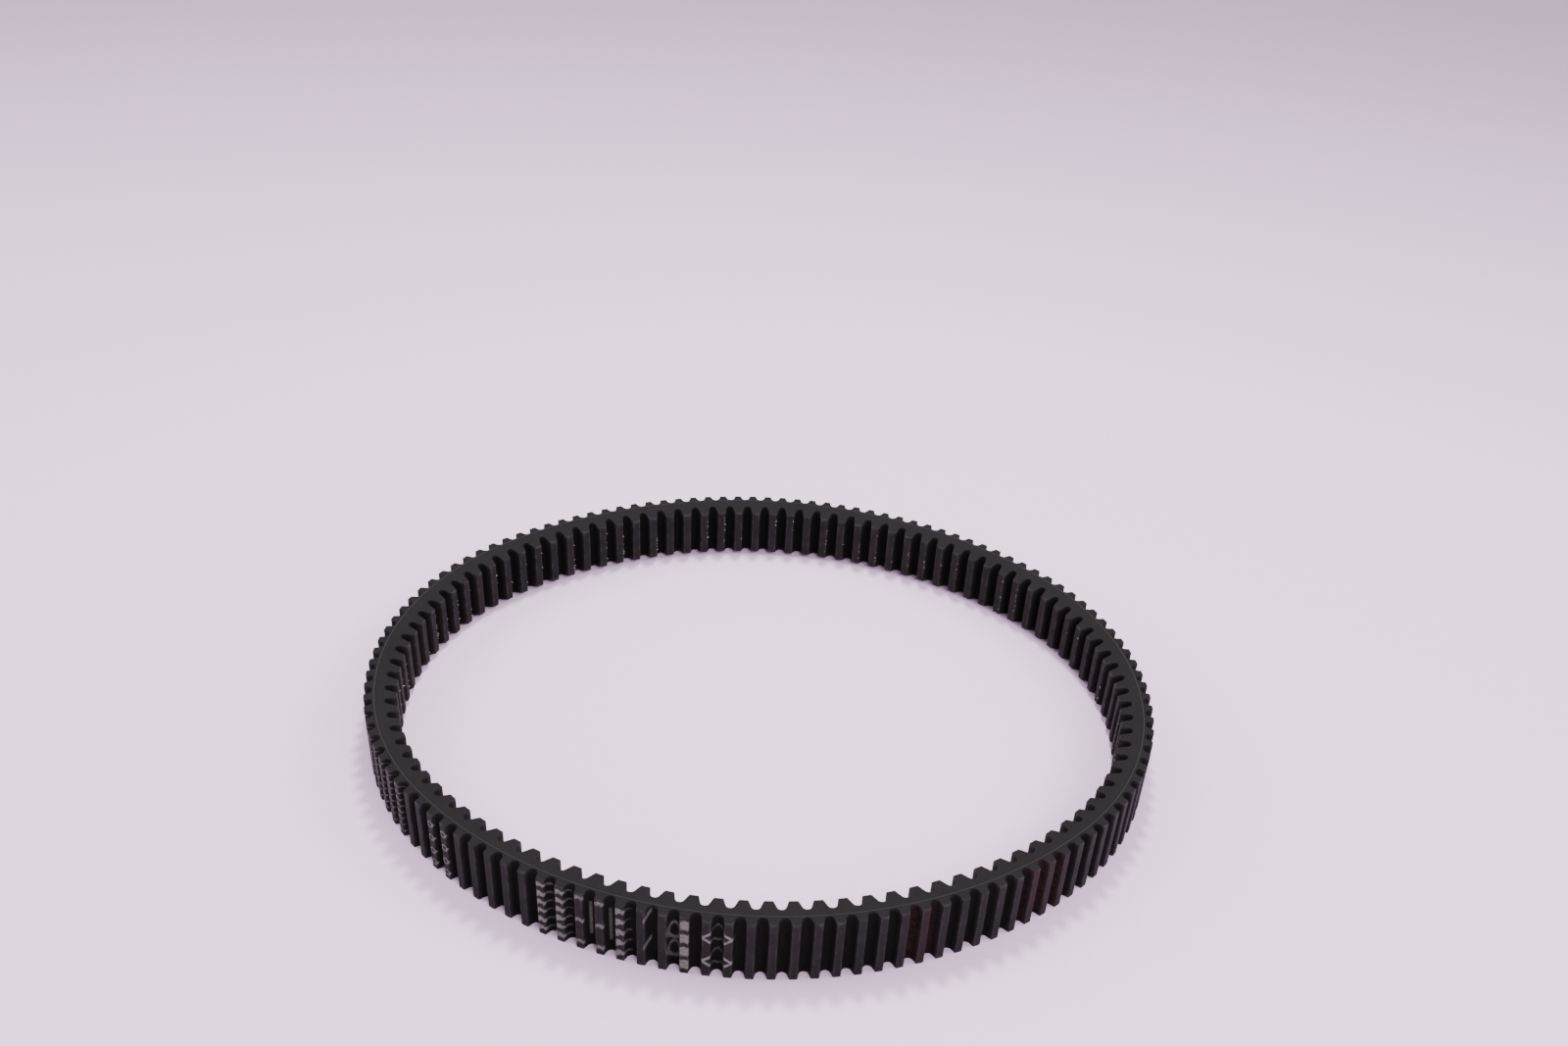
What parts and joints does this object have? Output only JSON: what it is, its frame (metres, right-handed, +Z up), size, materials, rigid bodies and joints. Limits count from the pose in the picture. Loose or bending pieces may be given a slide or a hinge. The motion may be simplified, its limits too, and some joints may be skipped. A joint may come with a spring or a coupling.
{
  "type": "double-cog variable-speed belt",
  "caption": "Endless rubber V drive belt with moulded cogs on both faces and tapered flanks, lying on its side in a relaxed oval loop.",
  "frame": {"origin": "under the middle of the loop, on the surface that the belt lies on", "axes": "+Z up across the belt's width, +X along the loop's longer extent"},
  "size_m": [0.396, 0.3368, 0.033],
  "materials": {
    "facing_fabric": "black rubberised woven facing",
    "overcord_rubber": "matte charcoal, fibre-filled",
    "adhesion_gum": "matte charcoal",
    "tensile_cord": "treated aramid cord, grey-brown",
    "undercord_rubber": "matte charcoal, fibre-filled"
  },
  "bodies": {
    "root": {"overcord_facing_fabric": "facing_fabric", "overcord_rubber": "overcord_rubber", "upper_adhesion_gum": "adhesion_gum", "tensile_cord": "tensile_cord", "lower_adhesion_gum": "adhesion_gum", "undercord_rubber": "undercord_rubber", "undercord_facing_fabric": "facing_fabric"}
  },
  "joints": []
}
